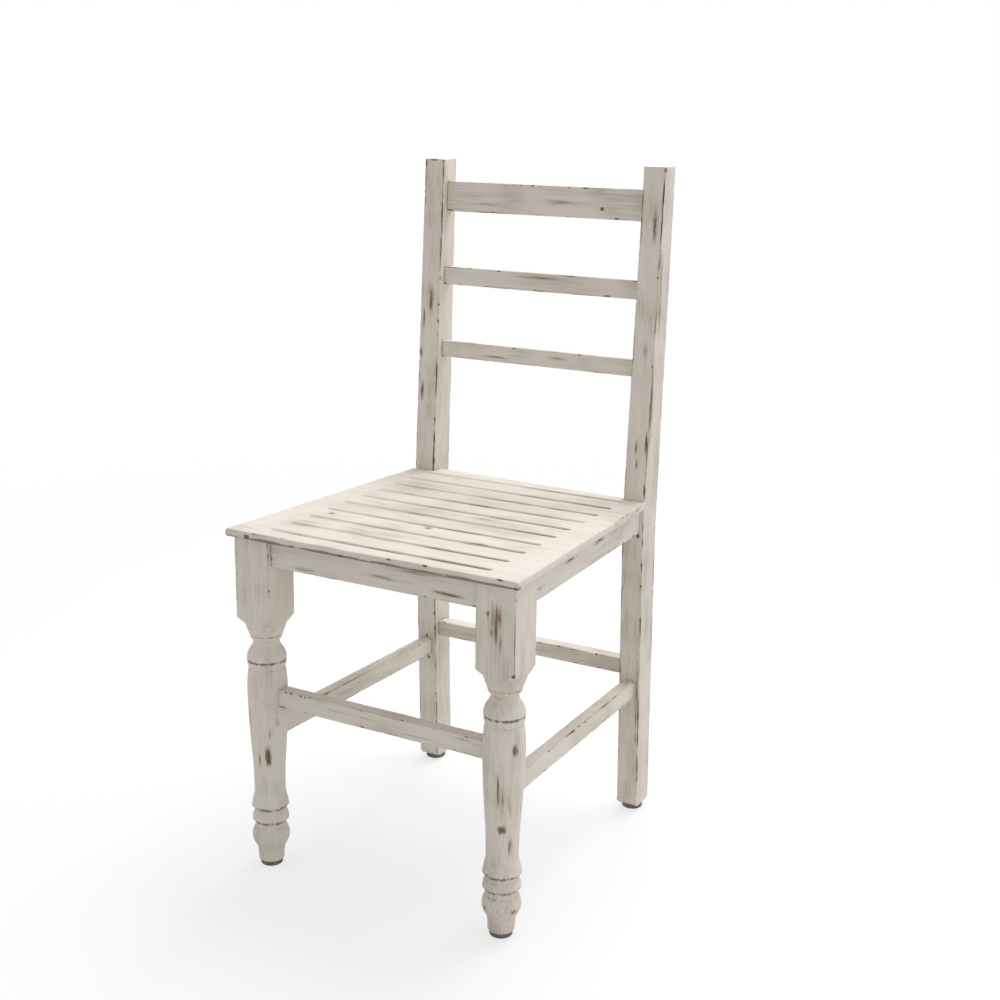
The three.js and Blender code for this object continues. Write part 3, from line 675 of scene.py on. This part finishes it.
post_finish = worn_paint("white_paint_on_post", 2, POST_HALF, POST_MARKS, ease=POST_CHAMFER)
for side in ("left", "right"):
    node = f"back_post_{side}"
    post = copy_of_node(node, f"painted_{node}")
    low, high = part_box(node)
    middle, half_width = (low.x + high.x) / 2, (high.x - low.x) / 2
    slice_across(post, (0, 0, 1), steps_between(low.z, high.z, POST_SLICE))
    slice_across(post, (1, 0, 0), [middle + share * (half_width - ARRIS_CUT) for share in (-1, 0, 1)])
    for straight in POST_STRAIGHTS:
        ends = np.array([(0, 0, height) for height in straight])
        for face, inward in zip(outline_at(points_of(post), ends), (ARRIS_CUT, -ARRIS_CUT)):
            across = Vector((0, straight[1] - straight[0], face[0] - face[1])).normalized()
            place = across.dot(Vector((0, face[0] + inward, straight[0])))
            slice_across(post, across, [place], straight)
    points = points_of(post)
    front, back = outline_at(points, points)
    section = np.ones_like(points)
    section[:, 0] = (points[:, 0] - middle) / half_width
    section[:, 1] = (points[:, 1] - (front + back) / 2) / ((back - front) / 2)
    store(post, "section", section)
    to_face, to_arris = below_faces(section, POST_HALF)
    to_arris = np.minimum(to_arris, to_face + np.abs(high.z - points[:, 2]))
    wear_down(post, to_face < FIT, to_arris < CHIP_REACH)
    dress(post, node, post_finish)

# Slats, aprons and stretchers
# All are planed lengths of softwood with a tenon at each end, glued into legs and posts and painted
# with them; the front apron is streaked, the slats are chipped along their upper arrises.
MEMBER_SLICE = 0.0032
MEMBER_UNEVENNESS = 0.8
TENON_SHARE = 0.93
TENON_END = 0.02
POST_LEAN = 0.025
POST_RISE = 0.427
SLAT_RAKE = math.atan(POST_LEAN / POST_RISE)
SLAT_MARKS = [
    ((-0.003, 0.197, 0.8455), (0.006, 0.004, 0.0022), 1.4),
    ((0.039, 0.197, 0.846), (0.008, 0.004, 0.0022), 1.4),
    ((0.084, 0.197, 0.844), (0.012, 0.004, 0.003), 1.4),
    ((0.087, 0.1977, 0.821), (0.0040, 0.004, 0.0032), 2.0),
    ((0.026, 0.198, 0.827), (0.055, 0.006, 0.0055), 1.0),
    ((-0.08, 0.198, 0.819), (0.045, 0.006, 0.005), 0.85),
    ((-0.005, 0.192, 0.727), (0.065, 0.006, 0.0045), 1.1),
    ((0.034, 0.186, 0.623), (0.026, 0.006, 0.004), 1.2),
    ((-0.06, 0.186, 0.616), (0.045, 0.006, 0.0035), 0.95),
]
APRON_MARKS = [
    ((0.106, -0.2095, 0.416), (0.034, 0.005, 0.0045), 1.4),
    ((0.02, -0.2095, 0.421), (0.060, 0.005, 0.005), 1.0),
    ((-0.10, -0.2095, 0.412), (0.035, 0.005, 0.004), 1.0),
    ((-0.145, -0.2095, 0.417), (0.0045, 0.005, 0.005), 1.8),
    ((0.06, -0.2095, 0.434), (0.055, 0.005, 0.0035), 1.1),
    ((0.184, -0.062, 0.431), (0.008, 0.034, 0.0045), 1.15),
    ((0.179, 0.029, 0.432), (0.008, 0.036, 0.005), 1.2),
    ((0.187, -0.145, 0.420), (0.008, 0.024, 0.004), 1.0),
]
STRETCHER_MARKS = [
    ((-0.05, -0.1985, 0.235), (0.060, 0.005, 0.0022), 0.85),
    ((0.06, -0.1985, 0.228), (0.045, 0.005, 0.0022), 0.8),
    ((0.12, -0.1985, 0.240), (0.020, 0.005, 0.002), 0.9),
    ((0.177, 0.02, 0.1945), (0.006, 0.090, 0.0016), 1.0),
]
# Each bar's length runs along X or Y, and the slats lean back with the posts
MEMBERS = {
    "top_slat": ("X", SLAT_RAKE), "middle_slat": ("X", SLAT_RAKE), "lower_slat": ("X", SLAT_RAKE),
    "front_apron": ("X", 0), "rear_apron": ("X", 0), "left_apron": ("Y", 0), "right_apron": ("Y", 0),
    "front_stretcher": ("X", 0), "rear_stretcher": ("X", 0), "left_stretcher": ("Y", 0),
    "right_stretcher": ("Y", 0),
}


def middle_and_half(values):
    return (values.max() + values.min()) / 2, (values.max() - values.min()) / 2


member_finishes = {}
for node, (way, lean) in MEMBERS.items():
    member = copy_of_node(node, f"painted_{node}")
    low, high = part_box(node)
    along = Vector((1, 0, 0))
    if way == "Y":
        vertices = points_of(member)
        ends = [vertices[np.abs(vertices[:, 1] - y) < TENON_END].mean(axis=0) for y in (low.y, high.y)]
        along = Vector(ends[1] - ends[0]).normalized()
    up = Vector((0, math.sin(lean), math.cos(lean)))
    out = along.cross(up)
    lengthwise = points_of(member) @ np.array(along)
    slice_across(member, along, steps_between(lengthwise.min(), lengthwise.max(), MEMBER_SLICE))
    points = points_of(member)
    mid_out, half_out = middle_and_half(points @ np.array(out))
    mid_up, half_up = middle_and_half(points @ np.array(up))
    slice_across(member, up, [mid_up + share * (half_up - ARRIS_CUT) for share in (-1, 0, 1)])
    slice_across(member, out, [mid_out + share * (half_out - ARRIS_CUT) for share in (-1, 1)])
    points = points_of(member)
    section = np.ones_like(points)
    section[:, 0] = (points @ np.array(out) - mid_out) / half_out
    section[:, 1] = (points @ np.array(up) - mid_up) / half_up
    lengthwise = points @ np.array(along)
    outside = np.maximum(np.abs(section[:, 0]), np.abs(section[:, 1])) > TENON_SHARE
    shoulders = lengthwise[outside].min(), lengthwise[outside].max()
    section[:, 2] = np.minimum(lengthwise - shoulders[0], shoulders[1] - lengthwise)
    store(member, "section", section)
    to_face, to_arris = below_faces(section, (half_out, half_up))
    wear_down(member, (to_face < FIT) * MEMBER_UNEVENNESS, to_arris < CHIP_REACH)
    kind = node.split("_")[-1]
    marks = {"slat": SLAT_MARKS, "apron": APRON_MARKS, "stretcher": STRETCHER_MARKS}[kind]
    key = (kind, way, round(half_out, 4), round(half_up, 4))
    if key not in member_finishes:
        axis = "XY".index(way)
        member_finishes[key] = worn_paint(f"white_paint_on_{node}", axis, (half_out, half_up), marks)
    dress(member, node, member_finishes[key])

# Seat board
# One thin softwood board with rounded edges and ten routed flutes from side to side, screwed down from
# below; its paint is sanded off along the flutes, more on the right half, and at the rim. The flutes are
# also darker the deeper they go, partly painted shade, and the rim is darker towards its lower edge,
# dirt and painted shade.
SEAT_STEP = 0.006
SEAT_RIM_STEP = 0.0027
SEAT_FLUTE_DEPTH = 0.002
SEAT_UNEVENNESS = 0.8
# The seat's taper is read from its sides here, in front of the notches for the posts
SEAT_TAPER_FROM = 0.120
SEAT_NOTCH = 0.160
# The flutes stop short of the sides and of the front edge
FLUTES_FROM_SIDE = 0.02
FLUTES_FROM_FRONT = 0.01
# Darker towards the rim's lower edge, dirt and painted shade under the seat's edge: how thick a rim
# counts, and from how far below the top it sets in, over what depth
RIM = 0.003
FRONT_DIRT_AND_SHADE_BELOW = 0.0052
FRONT_DIRT_AND_SHADE_DEPTH = 0.0018
SIDE_DIRT_AND_SHADE_BELOW = 0.0070
SIDE_DIRT_AND_SHADE_DEPTH = 0.0022
DIRT_AND_SHADE_AT_FRONT = 1.3
DIRT_AND_SHADE_AT_SIDE = 0.7
SEAT_MARKS = [
    ((-0.134, -0.097, 0.450), (0.009, 0.007, 0.01), 1.35),
    ((0.004, -0.091, 0.450), (0.010, 0.007, 0.01), 1.3),
    ((0.040, -0.020, 0.450), (0.050, 0.018, 0.01), 0.8),
    ((-0.060, -0.150, 0.450), (0.050, 0.018, 0.01), 0.75),
    ((0.090, -0.120, 0.450), (0.050, 0.022, 0.01), 0.75),
    ((-0.170, -0.222, 0.443), (0.007, 0.004, 0.005), 2.2),
    ((-0.103, -0.222, 0.442), (0.009, 0.004, 0.003), 1.5),
    ((-0.033, -0.222, 0.442), (0.008, 0.004, 0.003), 1.6),
    ((0.184, 0.135, 0.447), (0.006, 0.010, 0.006), 1.3),
    ((0.199, -0.219, 0.442), (0.006, 0.006, 0.006), 2.2),
]
seat = copy_of_node("seat_board", "painted_seat_board")
seat_low, seat_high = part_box("seat_board")
slice_across(seat, (1, 0, 0), steps_between(seat_low.x, seat_high.x, SEAT_STEP))
slice_across(seat, (0, 1, 0), steps_between(seat_low.y, seat_high.y, SEAT_STEP))
slice_across(seat, (0, 0, 1), [seat_low.z + SEAT_RIM_STEP * i for i in (1, 2)])
points = points_of(seat)
half_front = seat_high.x
behind = points[(points[:, 1] > SEAT_TAPER_FROM) & (points[:, 1] < SEAT_NOTCH)]
widest = behind[np.abs(behind[:, 0]).argmax()]
slope = (half_front - abs(widest[0])) / (widest[1] - seat_low.y)
to_side = half_front - slope * (points[:, 1] - seat_low.y) - np.abs(points[:, 0])
to_front = points[:, 1] - seat_low.y
in_plan = np.clip(np.minimum(to_side, to_front), 0, None)
below_top = seat_high.z - points[:, 2]
store(seat, "to_arris", in_plan + below_top)
in_field = (to_side > FLUTES_FROM_SIDE) & (to_front > FLUTES_FROM_FRONT)
in_field &= below_top < SEAT_FLUTE_DEPTH * 1.2
store(seat, "flute", np.where(in_field, np.clip(below_top / SEAT_FLUTE_DEPTH, 0, 1), 0))
# The rim darkens towards its lower edge, most at the front: dirt and painted shade under the seat's edge
at_front = np.clip((below_top - FRONT_DIRT_AND_SHADE_BELOW) / FRONT_DIRT_AND_SHADE_DEPTH, 0, 1.3) * (to_front < RIM)
at_side = np.clip((below_top - SIDE_DIRT_AND_SHADE_BELOW) / SIDE_DIRT_AND_SHADE_DEPTH, 0, 1) * (to_side < RIM)
store(seat, "crease", np.maximum(DIRT_AND_SHADE_AT_FRONT * at_front, DIRT_AND_SHADE_AT_SIDE * at_side))
near_top = below_top < 2 * SEAT_FLUTE_DEPTH
wear_down(seat, near_top * SEAT_UNEVENNESS, in_plan + below_top < CHIP_REACH)
seat_finish = worn_paint("white_paint_on_seat", 0, None, SEAT_MARKS, seat=True)
dress(seat, "seat_board", seat_finish)

# Corner blocks, seat screws, glides and their nails
# Unpainted softwood blocks glued inside the corners, zinc-plated screws up through them into the seat,
# and a moulded plastic glide nailed under each foot.
BLOCK_PALE = (0.47, 0.32, 0.19)
BLOCK_BROWN = (0.26, 0.16, 0.09)
ZINC = (0.48, 0.48, 0.46)
ZINC_DULL = (0.27, 0.26, 0.24)
PLASTIC = (0.14, 0.133, 0.12)
PLASTIC_SCUFFED = (0.30, 0.29, 0.265)


def sawn_wood():
    """Pale softwood with its year rings, sawn and left as it was."""
    finish = Finish("sawn_softwood")
    rings_seen = finish.noise((60, 60, 900), detail=4.0, roughness=0.6)
    pores = finish.noise((900, 900, 60), detail=3.0)
    colour = finish.blend(rings_seen.above(0.35, 0.65), BLOCK_PALE, BLOCK_BROWN)
    return finish.finish_with(colour, 0.75 + pores * 0.2, rings_seen * 0.0002 + pores * 0.0001)


def dull_zinc():
    """Zinc plating gone dull in spots."""
    finish = Finish("dull_zinc")
    spots = finish.noise((700, 700, 700), detail=4.0, roughness=0.6)
    colour = finish.blend(spots.above(0.4, 0.65), ZINC, ZINC_DULL)
    finish.feed(finish.surface, {"Metallic": 0.9})
    return finish.finish_with(colour, 0.35 + spots * 0.3, spots * 0.00003)


def scuffed_plastic():
    """Dark grey plastic, scuffed paler by the floor."""
    finish = Finish("scuffed_plastic")
    scuffs = finish.noise((350, 350, 120), detail=4.0, roughness=0.65)
    colour = finish.blend(scuffs.above(0.5, 0.7), PLASTIC, PLASTIC_SCUFFED)
    return finish.finish_with(colour, 0.45 + scuffs * 0.35, scuffs * 0.00008)


zinc = dull_zinc()
small_finishes = {
    "corner_block": sawn_wood(), "seat_screw": zinc, "nail": zinc, "glide": scuffed_plastic(),
}
for node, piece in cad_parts.items():
    for word, material in small_finishes.items():
        if word in node:
            piece.data.materials.clear()
            piece.data.materials.append(material)

# Floor and light
# A pale studio floor that runs out to white round the chair, a large soft lamp overhead and behind
# it, a weaker one at its right, and an even white dome.
FLOOR_RADIUS = 40
FLOOR_SIDES = 96
FLOOR_ROUGHNESS = 0.9
FLOOR_GRAIN = 0.00001
FLOOR_GREY = (0.76, 0.76, 0.76)
FLOOR_CREAM = (0.78, 0.775, 0.76)
WHITE = (1.0, 1.0, 1.0)
SHADOW_SHARE = 0.34
SHADOW_FADES_FROM = 0.7
SHADOW_FADES_TO = 2.4
DOME_STRENGTH = 0.585
OVERHEAD_AT = Vector((0.2, 1.0, 2.6))
OVERHEAD_WATTS = 47
SIDE_AT = Vector((2.6, -0.4, 0.9))
SIDE_WATTS = 6
SOFTBOX_SIZE = 1.6
LIT_POINT = Vector((0, 0, 0.45))

bpy.ops.mesh.primitive_circle_add(vertices=FLOOR_SIDES, radius=FLOOR_RADIUS, fill_type="NGON")
floor = bpy.context.object
floor.name = "floor"

softboxes = {"overhead": (OVERHEAD_AT, OVERHEAD_WATTS), "at_right": (SIDE_AT, SIDE_WATTS)}
for name, (place, watts) in softboxes.items():
    lamp_data = bpy.data.lights.new(name, "AREA")
    lamp_data.shape = "SQUARE"
    lamp_data.size = SOFTBOX_SIZE
    lamp_data.energy = watts
    lamp = bpy.data.objects.new(name, lamp_data)
    lamp.location = place
    lamp.rotation_euler = (LIT_POINT - place).to_track_quat("-Z", "Y").to_euler()
    bpy.context.scene.collection.objects.link(lamp)


def seen_directly(recipe):
    """1 where the camera sees something straight or mirrored, 0 where it only throws light."""
    straight = recipe.node("ShaderNodeLightPath", {}, {}, "Is Camera Ray")
    return straight.most(recipe.node("ShaderNodeLightPath", {}, {}, "Is Glossy Ray"))


paper = Finish("studio_paper")
seen = seen_directly(paper)
cloudy = paper.noise((6, 6, 6))
tint = paper.blend(cloudy, FLOOR_GREY, FLOOR_CREAM)
shown = paper.blend(seen, tint, WHITE)
paper.finish_with(shown, FLOOR_ROUGHNESS + cloudy * 0.05, cloudy * FLOOR_GRAIN)
away = paper.node("ShaderNodeVectorMath", {"operation": "LENGTH"}, {0: paper.point}, "Value")
glow = seen * (1 - SHADOW_SHARE * (1 - away.above(SHADOW_FADES_FROM, SHADOW_FADES_TO)))
white = paper.node("ShaderNodeEmission", {}, {"Color": (*WHITE, 1.0), "Strength": 1.0})
lit = Field(paper, paper.surface.outputs[0])
mixed = paper.node("ShaderNodeMixShader", {}, {0: glow, 1: lit, 2: white})
paper.feed(paper.nodes["Material Output"], {"Surface": mixed})
floor.data.materials.append(paper.material)

world = bpy.data.worlds.new("studio")
bpy.context.scene.world = world
dome = Recipe(world)
span = {"Value": seen_directly(dome), "To Min": DOME_STRENGTH, "To Max": 1.0}
strength = dome.node("ShaderNodeMapRange", {}, span)
dome.feed(dome.nodes["Background"], {"Color": (*WHITE, 1.0), "Strength": strength})

bpy.context.scene.view_settings.view_transform = "Standard"
